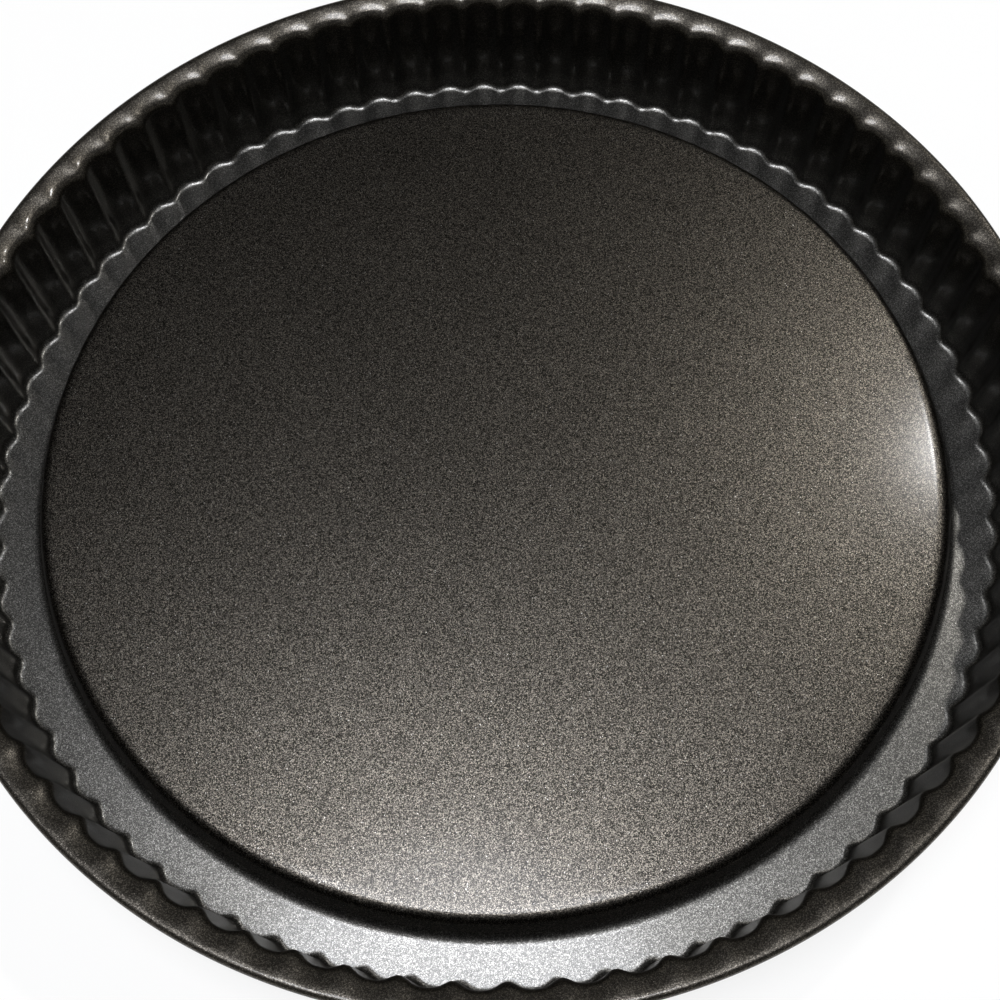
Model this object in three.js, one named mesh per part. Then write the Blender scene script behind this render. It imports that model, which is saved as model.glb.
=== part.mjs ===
// Fluted tart pan with a raised centre, in millimetres, +Z up.
// It is two pressed and coated steel pieces. The fluted ring carries the wall, the rolled rim and
// a flat channel, and turns up inside the channel into a ledge. The base caps that ledge, its
// skirt hanging over the outside of it, and lifts straight out.
// The origin is on the pan's axis, on the surface that the pan stands on.

import * as THREE from 'three';

// Rim and lip
const RIM_DIAMETER = 280;
const RIM_HEIGHT = 35.9; // from the table to the top of the rim
const RIM_TILT = 10; // degrees that the lip still slopes where the rolled edge starts
const CURL_RADIUS = 1.3; // outside of the rolled edge
const CURL_END = -135; // degrees from straight out, where the roll stops
const LIP_CROWN = 11.4; // gentle curve of the lip, from the rolled edge to the bend
const LIP_TILT = 30; // degrees that the lip slopes where it meets the bend
const LIP_BEND = 3.4; // bend from the lip into the wall
const RING_SHEET = 0.8; // steel with its coating

// Wall and flutes
const WALL_DRAFT = 1.9; // degrees that the wall leans outwards
const FOOT_FILLET = 1.8; // between the wall and the channel floor
const FLUTE_COUNT = 75;
const FLUTE_DEPTH = 1.8; // from crest to hollow
const CREST_SHARPNESS = 0.2; // share of a second, doubled swing, which narrows the crests
const FIRST_HOLLOW = 90; // degrees from +X

// Channel and the step up to the ledge
const CHANNEL_WIDTH = 12.3; // between the feet of the step and of the wall
const STEP_FILLET = 3.5; // between the channel floor and the step
const STEP_SLOPE = 20; // degrees that the step leans inwards
const LEDGE_WIDTH = 7.3; // level part that carries the base

// Lift-out base
const BASE_HEIGHT = 10; // from the table to the top of the base
const BASE_SHEET = 0.8; // steel with its coating
const BASE_CROWN = 19; // gentle curve of the base towards its shoulder
const BASE_FALL = 5.5; // degrees that the base slopes where the shoulder starts
const BASE_SHOULDER = 2.9; // bend from the base into its skirt
const SKIRT_LENGTH = 3.5; // straight part of the skirt
const FIT_GAP = 0.3; // between the base and the ring, on the ledge and round the step

// Facets
const PLAIN_COLUMNS = 60; // round the smooth parts
const COLUMNS_PER_FLUTE = 4;
const BEND_STEPS = 2;
const FOOT_STEPS = 1; // round the small fillet under the flutes
const CURL_STEPS = 5;

// Directions that the food side faces, from straight out and upwards
const up = Math.PI / 2;
const rimFacing = up + THREE.MathUtils.degToRad(RIM_TILT);
const lipFacing = up + THREE.MathUtils.degToRad(LIP_TILT);
const wallFacing = Math.PI - THREE.MathUtils.degToRad(WALL_DRAFT);
const edgeFacing = up - THREE.MathUtils.degToRad(BASE_FALL);
const stepFacing = THREE.MathUtils.degToRad(STEP_SLOPE);
const curlEnd = THREE.MathUtils.degToRad(CURL_END);
const firstHollow = THREE.MathUtils.degToRad(FIRST_HOLLOW);

// Places on the ring's section, as radius and height, from the rim inwards
const floorHeight = RING_SHEET;
const curlCentre = new THREE.Vector2(RIM_DIAMETER / 2 - CURL_RADIUS, RIM_HEIGHT - CURL_RADIUS);
const crownCentre = away(curlCentre, CURL_RADIUS - LIP_CROWN, rimFacing);
const lipCentre = away(crownCentre, LIP_CROWN - LIP_BEND, lipFacing);
const wallTop = away(lipCentre, LIP_BEND, wallFacing);
const wallFootRadius = wallTop.x + (wallTop.y - floorHeight) * Math.tan(wallFacing);
const footCentre = new THREE.Vector2(
  wallFootRadius - FOOT_FILLET * Math.tan((wallFacing - up) / 2),
  floorHeight + FOOT_FILLET,
);
const stepFootRadius = wallFootRadius - CHANNEL_WIDTH;
const stepCentre = new THREE.Vector2(
  stepFootRadius + STEP_FILLET * Math.tan((up - stepFacing) / 2),
  floorHeight + STEP_FILLET,
);

// Places on the base's section. The ledge and the step lie one seat below the base's food side.
const seat = BASE_SHEET + FIT_GAP;
const shoulderHeight = BASE_HEIGHT - BASE_CROWN + (BASE_CROWN - BASE_SHOULDER) * Math.sin(edgeFacing);
const shoulderRise = (shoulderHeight - floorHeight) * Math.sin(stepFacing);
const shoulderInset = (BASE_SHOULDER - seat + shoulderRise) / Math.cos(stepFacing);
const shoulderCentre = new THREE.Vector2(stepFootRadius - shoulderInset, shoulderHeight);
const edgeCentre = away(shoulderCentre, BASE_SHOULDER - BASE_CROWN, edgeFacing);

// The point at a distance from another, in a direction.
function away(point, distance, direction) {
  return new THREE.Vector2(Math.cos(direction), Math.sin(direction)).multiplyScalar(distance).add(point);
}

// A station is a point on the food side of a pressed sheet, the direction that side faces there,
// the share of the flutes' swing that the point follows, and how that swing leans from level.
function station(radius, height, facing, flute = 0, lean = 0) {
  return { radius, height, facing, flute, lean };
}

// Stations round a bend. side is 1 with the food side on the outside of the bend, -1 on its inside.
function bend(centre, bendRadius, side, from, to, steps, flute = 0) {
  const stations = [];
  for (let step = 0; step <= steps; step += 1) {
    const facing = THREE.MathUtils.lerp(from, to, step / steps);
    const point = away(centre, side * bendRadius, facing);
    stations.push(station(point.x, point.y, facing, flute));
  }
  return stations;
}

// Stations up the lip, where the flutes lean over with the sheet and fade out towards the rim.
function lip() {
  const stations = [
    ...bend(lipCentre, LIP_BEND, 1, wallFacing, lipFacing, BEND_STEPS),
    ...bend(crownCentre, LIP_CROWN, 1, lipFacing, rimFacing, BEND_STEPS).slice(1),
  ];
  return stations.map((s) => station(
    s.radius,
    s.height,
    s.facing,
    (s.facing - rimFacing) / (wallFacing - rimFacing),
    s.facing - Math.PI,
  ));
}

// Stations over the edge of the base, or of what lies at a depth below its food side.
function edge(depth) {
  return [
    ...bend(edgeCentre, BASE_CROWN - depth, 1, up, edgeFacing, 1),
    ...bend(shoulderCentre, BASE_SHOULDER - depth, 1, edgeFacing, stepFacing, BEND_STEPS).slice(1),
  ];
}

// The other side of a sheet, from its last station back to its first.
function underside(stations, sheet) {
  const below = stations.map((s) => {
    const point = away(new THREE.Vector2(s.radius, s.height), -sheet, s.facing);
    return station(point.x, point.y, s.facing, s.flute, s.lean);
  });
  return below.reverse();
}

// The points of one station all the way round the axis.
function course({ radius, height, flute, lean }) {
  const columns = flute > 0 ? FLUTE_COUNT * COLUMNS_PER_FLUTE : PLAIN_COLUMNS;
  const points = [];
  for (let column = 0; column < columns; column += 1) {
    const turn = (2 * Math.PI * column) / columns;
    const wave = Math.cos(FLUTE_COUNT * turn) - CREST_SHARPNESS * Math.cos(2 * FLUTE_COUNT * turn);
    const swing = (flute * FLUTE_DEPTH * wave) / 2;
    const swungRadius = radius + swing * Math.cos(lean);
    const angle = firstHollow + turn;
    points.push([
      swungRadius * Math.cos(angle),
      swungRadius * Math.sin(angle),
      height + swing * Math.sin(lean),
    ]);
  }
  return points;
}

// A closed shell through the courses of a section, which need not have equal numbers of columns.
function shell(section) {
  const courses = section.map(course);
  const starts = [];
  let total = 0;
  for (const points of courses) {
    starts.push(total);
    total += points.length;
  }
  const triangles = [];
  courses.forEach((points, k) => {
    const next = (k + 1) % courses.length;
    const here = (i) => starts[k] + (i % points.length);
    const there = (j) => starts[next] + (j % courses[next].length);
    let i = 0;
    let j = 0;
    while (i < points.length || j < courses[next].length) {
      const stepHere = (i + 1) * courses[next].length <= (j + 1) * points.length;
      if (stepHere && i < points.length) {
        triangles.push(here(i), there(j), here(i + 1));
        i += 1;
      } else {
        triangles.push(here(i), there(j), there(j + 1));
        j += 1;
      }
    }
  });
  const geometry = new THREE.BufferGeometry();
  geometry.setAttribute('position', new THREE.Float32BufferAttribute(courses.flat(2), 3));
  geometry.setIndex(triangles);
  geometry.computeVertexNormals();
  return geometry;
}

// Ring: ledge, step, channel, fluted wall, lip and rolled edge, in one sheet
function flutedRing() {
  const stations = [
    station(edgeCentre.x - LEDGE_WIDTH, BASE_HEIGHT - seat, up),
    ...edge(seat),
    ...bend(stepCentre, STEP_FILLET, -1, stepFacing, up, BEND_STEPS),
    ...bend(footCentre, FOOT_FILLET, -1, up, wallFacing, FOOT_STEPS, 1),
    ...lip(),
    ...bend(curlCentre, CURL_RADIUS, 1, rimFacing, curlEnd, CURL_STEPS).slice(1),
  ];
  return shell([...stations, ...underside(stations, RING_SHEET)]);
}

// Base: a flat disc that falls gently to its shoulder, and a turned-down skirt
function liftingBase() {
  const rounded = edge(0);
  const shoulderEnd = rounded[rounded.length - 1];
  const skirtEnd = station(
    shoulderEnd.radius + SKIRT_LENGTH * Math.sin(stepFacing),
    shoulderEnd.height - SKIRT_LENGTH * Math.cos(stepFacing),
    stepFacing,
  );
  const stations = [station(0, BASE_HEIGHT, up), ...rounded, skirtEnd];
  const outline = [...underside(stations, BASE_SHEET).reverse(), ...stations.reverse()];
  const profile = outline.map((s) => new THREE.Vector2(s.radius, s.height));
  return new THREE.LatheGeometry(profile, PLAIN_COLUMNS).rotateX(up);
}

function coatedSteel() {
  return new THREE.MeshStandardMaterial({ color: 0x2d2c2a, roughness: 0.42, metalness: 0.5 });
}

function piece(name, geometry) {
  const mesh = new THREE.Mesh(geometry, coatedSteel());
  mesh.name = name;
  return mesh;
}

const pan = new THREE.Group();
pan.add(piece('fluted_ring', flutedRing()));
pan.add(piece('lifting_base', liftingBase()));

export default pan;
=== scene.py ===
import math

import bmesh
import bpy
from mathutils import Matrix, Vector


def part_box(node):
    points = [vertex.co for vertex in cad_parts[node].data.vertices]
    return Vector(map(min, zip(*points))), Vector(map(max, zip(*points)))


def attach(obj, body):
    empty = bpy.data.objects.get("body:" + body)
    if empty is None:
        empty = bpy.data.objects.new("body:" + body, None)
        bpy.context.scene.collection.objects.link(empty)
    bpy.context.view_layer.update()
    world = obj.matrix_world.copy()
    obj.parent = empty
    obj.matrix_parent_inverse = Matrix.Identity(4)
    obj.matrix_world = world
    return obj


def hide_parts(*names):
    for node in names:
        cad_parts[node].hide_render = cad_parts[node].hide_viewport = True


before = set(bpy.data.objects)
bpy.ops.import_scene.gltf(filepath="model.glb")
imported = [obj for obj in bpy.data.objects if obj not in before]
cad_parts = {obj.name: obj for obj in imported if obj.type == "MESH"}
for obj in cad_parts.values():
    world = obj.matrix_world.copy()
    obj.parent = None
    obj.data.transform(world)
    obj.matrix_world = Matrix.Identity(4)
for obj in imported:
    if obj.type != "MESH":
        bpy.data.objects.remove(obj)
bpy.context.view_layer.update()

# A fluted tart pan of pressed, coated steel, in metres, +Z up, with the table at height 0.
# The ring and the loose base are each drawn as the section of a sheet's food side and turned about
# the pan's axis. The flutes are pressed into the ring's wall, and each sheet is then thickened
# downwards.

# Sizes that the frame gives
ring_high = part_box("fluted_ring")[1]
base_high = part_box("lifting_base")[1]
rim_radius = ring_high.x
rim_height = ring_high.z
base_height = base_high.z

# Pressed ring
RING_SHEET = 0.0008
RIM_TILT = math.radians(10)
CURL_RADIUS = 0.0013
CURL_END = math.radians(-135)
LIP_CROWN = 0.0114
LIP_TILT = math.radians(30)
LIP_BEND = 0.0034
WALL_DRAFT = math.radians(1.9)
FOOT_FILLET = 0.0018
CHANNEL_WIDTH = 0.0123
STEP_FILLET = 0.0035
STEP_SLOPE = math.radians(20)
LEDGE_WIDTH = 0.0073

# Flutes
FLUTE_COUNT = 75
FLUTE_DEPTH = 0.0018
CREST_SHARPNESS = 0.2
FIRST_HOLLOW = math.radians(90)
COLUMNS_PER_FLUTE = 10

# Loose base
BASE_SHEET = 0.0008
BASE_CROWN = 0.019
BASE_FALL = math.radians(5.5)
BASE_SHOULDER = 0.0029
SKIRT_LENGTH = 0.0035
FIT_GAP = 0.0003
BASE_COLUMNS = 300

# Steps round the bends of the sheets, and how close a course lies to the end of a flat run
CROWN_STEPS = 5
BEND_STEPS = 7
CURL_STEPS = 9
HOLD = 0.0004

# A right angle, the angle from which an edge looks sharp, and how close doubled corners lie
SQUARE = math.radians(90)
SHEET_EDGE = math.radians(50)
MERGE_DISTANCE = 1e-6


def away(place, distance, direction):
    """The place at a distance from another, on a section of radius and height."""
    return place + distance * Vector((math.cos(direction), math.sin(direction)))


# Directions that the food side faces, from straight out and upwards
rim_facing = SQUARE + RIM_TILT
lip_facing = SQUARE + LIP_TILT
wall_facing = math.pi - WALL_DRAFT
edge_facing = SQUARE - BASE_FALL

# Places on the ring's section, as radius and height, from the rim inwards
curl_centre = Vector((rim_radius - CURL_RADIUS, rim_height - CURL_RADIUS))
crown_centre = away(curl_centre, CURL_RADIUS - LIP_CROWN, rim_facing)
lip_centre = away(crown_centre, LIP_CROWN - LIP_BEND, lip_facing)
wall_top = away(lip_centre, LIP_BEND, wall_facing)
wall_foot_radius = wall_top.x - (wall_top.y - RING_SHEET) * math.tan(WALL_DRAFT)
foot_inset = FOOT_FILLET * math.tan((SQUARE - WALL_DRAFT) / 2)
foot_centre = Vector((wall_foot_radius - foot_inset, RING_SHEET + FOOT_FILLET))
step_foot_radius = wall_foot_radius - CHANNEL_WIDTH
step_inset = STEP_FILLET * math.tan((SQUARE - STEP_SLOPE) / 2)
step_centre = Vector((step_foot_radius + step_inset, RING_SHEET + STEP_FILLET))
step_bottom = away(step_centre, -STEP_FILLET, STEP_SLOPE)

# Places on the base's section. The ledge and the step lie one seat below its food side.
seat = BASE_SHEET + FIT_GAP
shoulder_height = base_height - BASE_CROWN + (BASE_CROWN - BASE_SHOULDER) * math.sin(edge_facing)
shoulder_rise = (shoulder_height - RING_SHEET) * math.sin(STEP_SLOPE)
shoulder_inset = (BASE_SHOULDER - seat + shoulder_rise) / math.cos(STEP_SLOPE)
shoulder_centre = Vector((step_foot_radius - shoulder_inset, shoulder_height))
edge_centre = away(shoulder_centre, BASE_SHOULDER - BASE_CROWN, edge_facing)


# Sheet metal work

def straight(section, end, place):
    """Runs a sheet's section on in a straight line, and returns its new end."""
    new_end = bmesh.ops.extrude_vert_indiv(section, verts=[end])["verts"][0]
    new_end.co = (place.x, 0, place.y)
    return new_end


def flat_run(section, end, place):
    """A straight run with a course close to each end, which keeps its shading flat."""
    start = Vector((end.co.x, end.co.z))
    margin = HOLD * (place - start).normalized()
    for stop in (start + margin, place - margin, place):
        end = straight(section, end, stop)
    return end


def bend(section, end, centre, turn, steps):
    """Bends a sheet's section round a centre, outwards and down where turn is positive."""
    bent = bmesh.ops.spin(
        section,
        geom=[end],
        cent=(centre.x, 0, centre.y),
        axis=(0, 1, 0),
        angle=turn,
        steps=steps,
    )
    return next(part for part in bent["geom_last"] if isinstance(part, bmesh.types.BMVert))


def turned(section, columns):
    """Turns a section all the way round the pan's axis, with its food side facing up."""
    bmesh.ops.spin(
        section,
        geom=section.verts[:] + section.edges[:],
        cent=(0, 0, 0),
        axis=(0, 0, 1),
        angle=2 * math.pi,
        steps=columns,
        use_merge=True,
    )
    bmesh.ops.remove_doubles(section, verts=section.verts[:], dist=MERGE_DISTANCE)
    section.normal_update()
    upward = sum(face.normal.z * face.calc_area() for face in section.faces)
    if upward < 0:
        bmesh.ops.reverse_faces(section, faces=section.faces[:])
    return section


def sheet_piece(name, shell, sheet, coating):
    """Gives a turned shell its thickness and coating, and returns it as an object."""
    bmesh.ops.solidify(shell, geom=shell.faces[:], thickness=sheet)
    mesh = bpy.data.meshes.new(name)
    shell.to_mesh(mesh)
    shell.free()
    mesh.shade_smooth()
    mesh.set_sharp_from_angle(angle=SHEET_EDGE)
    mesh.materials.append(coating)
    piece = bpy.data.objects.new(name, mesh)
    bpy.context.scene.collection.objects.link(piece)
    return piece


def rounded_edge(section, end):
    """Bends a section over the edge of the base, or over the ledge that lies below it."""
    end = bend(section, end, edge_centre, BASE_FALL, CROWN_STEPS)
    return bend(section, end, shoulder_centre, edge_facing - STEP_SLOPE, BEND_STEPS)


def fading_bend(section, end, centre, turn, steps):
    """Bends the lip on, with its flutes leaning over with it and fading out towards the rim."""
    fluted = section.verts.layers.float["fluted"]
    lean = section.verts.layers.float["lean"]
    for _ in range(steps):
        end = bend(section, end, centre, turn / steps, 1)
        facing = math.atan2(end.co.z - centre.y, end.co.x - centre.x)
        end[fluted] = (facing - rim_facing) / (wall_facing - rim_facing)
        end[lean] = facing - math.pi
    return end


def ring_section():
    """The food side of the ring from the ledge outwards, with how much each place is fluted."""
    section = bmesh.new()
    fluted = section.verts.layers.float.new("fluted")
    lean = section.verts.layers.float.new("lean")
    ledge_height = base_height - seat
    end = section.verts.new((edge_centre.x - LEDGE_WIDTH, 0, ledge_height))
    end = straight(section, end, Vector((edge_centre.x, ledge_height)))
    end = rounded_edge(section, end)
    end = straight(section, end, step_bottom)
    end = bend(section, end, step_centre, STEP_SLOPE - SQUARE, BEND_STEPS)
    end = straight(section, end, Vector((step_centre.x + HOLD, RING_SHEET)))
    end = straight(section, end, Vector((foot_centre.x - HOLD, RING_SHEET)))
    end[fluted] = 1
    end = straight(section, end, Vector((foot_centre.x, RING_SHEET)))
    end = bend(section, end, foot_centre, WALL_DRAFT - SQUARE, BEND_STEPS)
    end = flat_run(section, end, wall_top)
    end = fading_bend(section, end, lip_centre, wall_facing - lip_facing, BEND_STEPS)
    end = fading_bend(section, end, crown_centre, LIP_TILT - RIM_TILT, CROWN_STEPS)
    end[fluted] = 0
    end[lean] = 0
    bend(section, end, curl_centre, rim_facing - CURL_END, CURL_STEPS)
    return section


def press_flutes(shell):
    """Swings the wall in and out round the pan, with broad hollows and narrow crests."""
    fluted = shell.verts.layers.float["fluted"]
    lean = shell.verts.layers.float["lean"]
    for corner in shell.verts:
        radius = math.hypot(corner.co.x, corner.co.y)
        turn = FLUTE_COUNT * (math.atan2(corner.co.y, corner.co.x) - FIRST_HOLLOW)
        wave = math.cos(turn) - CREST_SHARPNESS * math.cos(2 * turn)
        swing = corner[fluted] * FLUTE_DEPTH / 2 * wave
        widening = 1 + swing * math.cos(corner[lean]) / radius
        corner.co.x *= widening
        corner.co.y *= widening
        corner.co.z += swing * math.sin(corner[lean])


def base_section():
    """The food side of the base from its middle out to the edge of its skirt."""
    section = bmesh.new()
    end = section.verts.new((0, 0, base_height))
    end = flat_run(section, end, Vector((edge_centre.x, base_height)))
    end = rounded_edge(section, end)
    shoulder_end = Vector((end.co.x, end.co.z))
    straight(section, end, away(shoulder_end, SKIRT_LENGTH, STEP_SLOPE - SQUARE))
    return section


# Finishes

def node(tree, kind, inputs=None, **settings):
    """Adds a shader node with its settings and fixed inputs."""
    made = tree.nodes.new(kind)
    for setting, value in settings.items():
        setattr(made, setting, value)
    for socket, value in (inputs or {}).items():
        made.inputs[socket].default_value = value
    return made


# Grain, metallic flecks, mottled sheen and small relief of the coating
GRAIN_SCALE = 5400
GRAIN_SKEW = 3
FLECK_FROM = 0.995
FLECK_TONE = (0.5, 0.48, 0.44, 1)
FLECK_ROUGHNESS = 0.45
MOTTLE_SCALE = 45
MOTTLE_DETAIL = 3.0
RELIEF_SCALE = 2900
RELIEF_HEIGHT = 0.0000215

# Heights and painted shade by which the ring's coating darkens from the channel up the wall to the
# lip, with a brown tint on the lip
CHANNEL_TOP = 0.002
WALL_BOTTOM = 0.008
WALL_END = 0.031
LIP_BOTTOM = 0.034
CHANNEL_UNSHADED = (1, 1, 1)
WALL_PAINTED_SHADE = (0.34, 0.33, 0.31)
LIP_PAINTED_SHADE_AND_TINT = (0.62, 0.58, 0.53)


def nonstick_coating(name, dark_tone, pale_tone, smooth, rough, gloss, gloss_roughness):
    """Dark satin non-stick coating of fine grains, a few of which are bright metallic flecks."""
    material = bpy.data.materials.new(name)
    material.use_nodes = True
    tree = material.node_tree
    shader = tree.nodes["Principled BSDF"]
    shader.inputs["Metallic"].default_value = 1.0
    shader.inputs["Coat Weight"].default_value = gloss
    shader.inputs["Coat Roughness"].default_value = gloss_roughness
    place = node(tree, "ShaderNodeTexCoord").outputs["Object"]

    grains = node(tree, "ShaderNodeTexVoronoi", {"Scale": GRAIN_SCALE})
    tree.links.new(place, grains.inputs["Vector"])
    pick = node(tree, "ShaderNodeSeparateColor")
    tree.links.new(grains.outputs["Color"], pick.inputs["Color"])
    skew = node(tree, "ShaderNodeMath", {1: GRAIN_SKEW}, operation="POWER")
    tree.links.new(pick.outputs["Red"], skew.inputs[0])
    grain_tone = node(tree, "ShaderNodeMix", data_type="RGBA")
    grain_tone.inputs["A"].default_value = (*dark_tone, 1)
    grain_tone.inputs["B"].default_value = (*pale_tone, 1)
    tree.links.new(skew.outputs["Value"], grain_tone.inputs["Factor"])

    fleck = node(tree, "ShaderNodeMapRange", {"From Min": FLECK_FROM, "From Max": 1.0})
    tree.links.new(pick.outputs["Green"], fleck.inputs["Value"])
    colour = node(tree, "ShaderNodeMix", data_type="RGBA")
    colour.inputs["B"].default_value = FLECK_TONE
    tree.links.new(fleck.outputs["Result"], colour.inputs["Factor"])
    tree.links.new(grain_tone.outputs["Result"], colour.inputs["A"])
    tree.links.new(colour.outputs["Result"], shader.inputs["Base Color"])

    mottle = node(
        tree, "ShaderNodeTexNoise", {"Scale": MOTTLE_SCALE, "Detail": MOTTLE_DETAIL}
    )
    tree.links.new(place, mottle.inputs["Vector"])
    satin = node(tree, "ShaderNodeMapRange", {"To Min": smooth, "To Max": rough})
    tree.links.new(mottle.outputs["Fac"], satin.inputs["Value"])
    sheen = node(tree, "ShaderNodeMix", {"B": FLECK_ROUGHNESS})
    tree.links.new(fleck.outputs["Result"], sheen.inputs["Factor"])
    tree.links.new(satin.outputs["Result"], sheen.inputs["A"])
    tree.links.new(sheen.outputs["Result"], shader.inputs["Roughness"])

    relief = node(tree, "ShaderNodeTexNoise", {"Scale": RELIEF_SCALE, "Detail": 0.0})
    tree.links.new(place, relief.inputs["Vector"])
    bump = node(tree, "ShaderNodeBump", {"Strength": 1.0, "Distance": RELIEF_HEIGHT})
    tree.links.new(relief.outputs["Fac"], bump.inputs["Height"])
    tree.links.new(bump.outputs["Normal"], shader.inputs["Normal"])
    return material


def paint_shade_by_height(material, shade_stops):
    """Paints shade into a coating's colour by height, darker on the wall and lip than the full
    tone of the level channel.
    """
    tree = material.node_tree
    shader = tree.nodes["Principled BSDF"]
    coating_colour = shader.inputs["Base Color"].links[0].from_socket
    place = node(tree, "ShaderNodeTexCoord").outputs["Object"]
    height = node(tree, "ShaderNodeSeparateXYZ")
    tree.links.new(place, height.inputs["Vector"])
    rise = node(tree, "ShaderNodeMapRange", {"From Max": rim_height})
    tree.links.new(height.outputs["Z"], rise.inputs["Value"])
    # Ramp of painted shade by height
    shade_ramp = node(tree, "ShaderNodeValToRGB")
    stops = shade_ramp.color_ramp.elements
    while len(stops) < len(shade_stops):
        stops.new(1)
    for stop, (stop_height, tint) in zip(stops, shade_stops):
        stop.position = stop_height / rim_height
        stop.color = (*tint, 1)
    tree.links.new(rise.outputs["Result"], shade_ramp.inputs["Fac"])
    shaded = node(
        tree, "ShaderNodeMix", {"Factor": 1.0}, data_type="RGBA", blend_type="MULTIPLY"
    )
    tree.links.new(coating_colour, shaded.inputs["A"])
    tree.links.new(shade_ramp.outputs["Color"], shaded.inputs["B"])
    tree.links.new(shaded.outputs["Result"], shader.inputs["Base Color"])


ring_coating = nonstick_coating(
    "ring_coating",
    dark_tone=(0.0508, 0.0485, 0.0435),
    pale_tone=(0.2541, 0.2423, 0.2173),
    smooth=0.355,
    rough=0.395,
    gloss=0.28,
    gloss_roughness=0.13,
)
# Painted shade: the ring's wall and lip are darkened by height, and the lip gets a brown tint
paint_shade_by_height(
    ring_coating,
    (
        (CHANNEL_TOP, CHANNEL_UNSHADED),
        (WALL_BOTTOM, WALL_PAINTED_SHADE),
        (WALL_END, WALL_PAINTED_SHADE),
        (LIP_BOTTOM, LIP_PAINTED_SHADE_AND_TINT),
    ),
)
base_coating = nonstick_coating(
    "base_coating",
    dark_tone=(0.0117, 0.0104, 0.0085),
    pale_tone=(0.2305, 0.2043, 0.1671),
    smooth=0.36,
    rough=0.4,
    gloss=0.22,
    gloss_roughness=0.15,
)


# The two pieces

ring_shell = turned(ring_section(), FLUTE_COUNT * COLUMNS_PER_FLUTE)
press_flutes(ring_shell)
ring_piece = sheet_piece("fluted_ring_sheet", ring_shell, RING_SHEET, ring_coating)
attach(ring_piece, "ring")
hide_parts("fluted_ring")

base_shell = turned(base_section(), BASE_COLUMNS)
base_piece = sheet_piece("lifting_base_sheet", base_shell, BASE_SHEET, base_coating)
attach(base_piece, "base")
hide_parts("lifting_base")


# Floor, room, lamps and camera

FLOOR_RADIUS = 2.4
BACKDROP_BEND = 0.6
BACKDROP_HEIGHT = 1.6
FLOOR_COLUMNS = 96
FLOOR_COLOUR = (0.96, 0.94, 0.885, 1)
FLOOR_ROUGHNESS = 0.9
FLOOR_WHITENING = 0.8
WHITE_FROM = 0.4
WHITE_TO = 1.1

# Tones of the room, and the sines of the angles of rise where its walls end and its ceiling starts
ROOM_WALL_TONE = 0.3
CEILING_TONE = 0.012
ROOM_WALL_TOP = math.sin(math.radians(31))
CEILING_FROM = math.sin(math.radians(43))


def floor_paint():
    """Pale paint that keeps shadows and looks white near the pan, also in reflections."""
    paint = bpy.data.materials.new("floor_paint")
    paint.use_nodes = True
    tree = paint.node_tree
    shader = tree.nodes["Principled BSDF"]
    shader.inputs["Base Color"].default_value = FLOOR_COLOUR
    shader.inputs["Roughness"].default_value = FLOOR_ROUGHNESS
    ray = node(tree, "ShaderNodeLightPath")
    seen = ray.outputs["Is Camera Ray"]
    for kind in ("Is Glossy Ray", "Is Transmission Ray"):
        either = node(tree, "ShaderNodeMath", operation="MAXIMUM")
        tree.links.new(seen, either.inputs[0])
        tree.links.new(ray.outputs[kind], either.inputs[1])
        seen = either.outputs["Value"]
    place = node(tree, "ShaderNodeTexCoord").outputs["Object"]
    reach = node(tree, "ShaderNodeVectorMath", operation="LENGTH")
    tree.links.new(place, reach.inputs[0])
    fade = node(
        tree,
        "ShaderNodeMapRange",
        {"From Min": WHITE_TO, "From Max": WHITE_FROM, "To Max": FLOOR_WHITENING},
    )
    tree.links.new(reach.outputs["Value"], fade.inputs["Value"])
    share = node(tree, "ShaderNodeMath", operation="MULTIPLY")
    tree.links.new(seen, share.inputs[0])
    tree.links.new(fade.outputs["Result"], share.inputs[1])
    whitened = node(tree, "ShaderNodeMixShader")
    tree.links.new(share.outputs["Value"], whitened.inputs["Fac"])
    tree.links.new(shader.outputs["BSDF"], whitened.inputs[1])
    tree.links.new(node(tree, "ShaderNodeEmission").outputs["Emission"], whitened.inputs[2])
    tree.links.new(whitened.outputs["Shader"], tree.nodes["Material Output"].inputs["Surface"])
    return paint


def studio_floor():
    """A pale floor that bends up into a backdrop all round."""
    section = bmesh.new()
    end = section.verts.new((0, 0, 0))
    end = straight(section, end, Vector((FLOOR_RADIUS, 0)))
    end = bend(section, end, Vector((FLOOR_RADIUS, BACKDROP_BEND)), -SQUARE, BEND_STEPS)
    straight(section, end, Vector((FLOOR_RADIUS + BACKDROP_BEND, BACKDROP_HEIGHT)))
    mesh = bpy.data.meshes.new("studio_floor")
    turned(section, FLOOR_COLUMNS).to_mesh(mesh)
    section.free()
    mesh.shade_smooth()
    mesh.materials.append(floor_paint())
    floor = bpy.data.objects.new("studio_floor", mesh)
    bpy.context.scene.collection.objects.link(floor)


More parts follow.
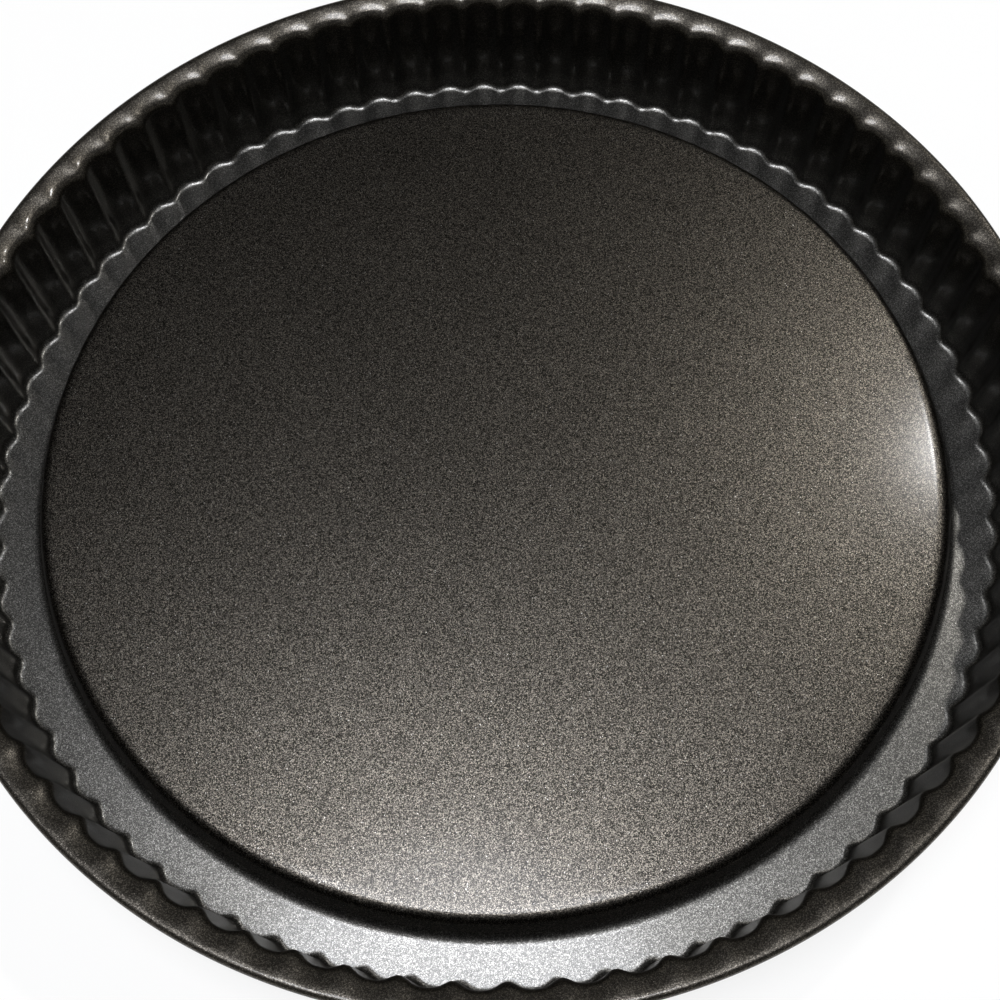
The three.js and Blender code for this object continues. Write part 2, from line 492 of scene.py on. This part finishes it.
def lamp(name, place, power, size, tint):
    """A round soft lamp that faces the middle of the pan."""
    light = bpy.data.lights.new(name, "AREA")
    light.shape = "DISK"
    light.size = size
    light.energy = power
    light.color = tint
    holder = bpy.data.objects.new(name, light)
    holder.location = place
    holder.rotation_euler = (-Vector(place)).to_track_quat("-Z", "Y").to_euler()
    bpy.context.scene.collection.objects.link(holder)


def dim_room():
    """A room with a dark ceiling, and walls that are paler where they rise above the backdrop."""
    room = bpy.data.worlds.new("dim_room")
    room.use_nodes = True
    tree = room.node_tree
    direction = node(tree, "ShaderNodeTexCoord").outputs["Generated"]
    rise = node(tree, "ShaderNodeSeparateXYZ")
    tree.links.new(direction, rise.inputs["Vector"])
    tone = node(
        tree,
        "ShaderNodeMapRange",
        {
            "From Min": ROOM_WALL_TOP,
            "From Max": CEILING_FROM,
            "To Min": ROOM_WALL_TONE,
            "To Max": CEILING_TONE,
        },
    )
    tree.links.new(rise.outputs["Z"], tone.inputs["Value"])
    paint = tree.nodes["Background"]
    paint.inputs["Color"].default_value = (1, 1, 1, 1)
    tree.links.new(tone.outputs["Result"], paint.inputs["Strength"])
    bpy.context.scene.world = room


studio_floor()
dim_room()
lamp(
    "overhead_lamp",
    place=(-0.066, -0.15, 1.2),
    power=13.3,
    size=0.52,
    tint=(0.945, 0.982, 1.073),
)
lamp("far_right_lamp", place=(0.601, 0.599, 1.2), power=4.2, size=0.06, tint=(1, 1, 1))

CAMERA_PLACE = Vector((0.0014, -0.15416, 0.31312))
CAMERA_DOWN = math.radians(65.164)
CAMERA_HEADING = math.radians(0.033)
CAMERA_ROLL = math.radians(-1.703)
CAMERA_LENS = 46.774
CAMERA_SENSOR = 36.0

view = bpy.data.cameras.new("photo_camera")
view.lens = CAMERA_LENS
view.sensor_width = CAMERA_SENSOR
camera = bpy.data.objects.new("photo_camera", view)
camera.matrix_world = (
    Matrix.Translation(CAMERA_PLACE)
    @ Matrix.Rotation(CAMERA_HEADING, 4, "Z")
    @ Matrix.Rotation(SQUARE - CAMERA_DOWN, 4, "X")
    @ Matrix.Rotation(CAMERA_ROLL, 4, "Z")
)
bpy.context.scene.collection.objects.link(camera)
bpy.context.scene.camera = camera
bpy.context.scene.view_settings.view_transform = "Standard"
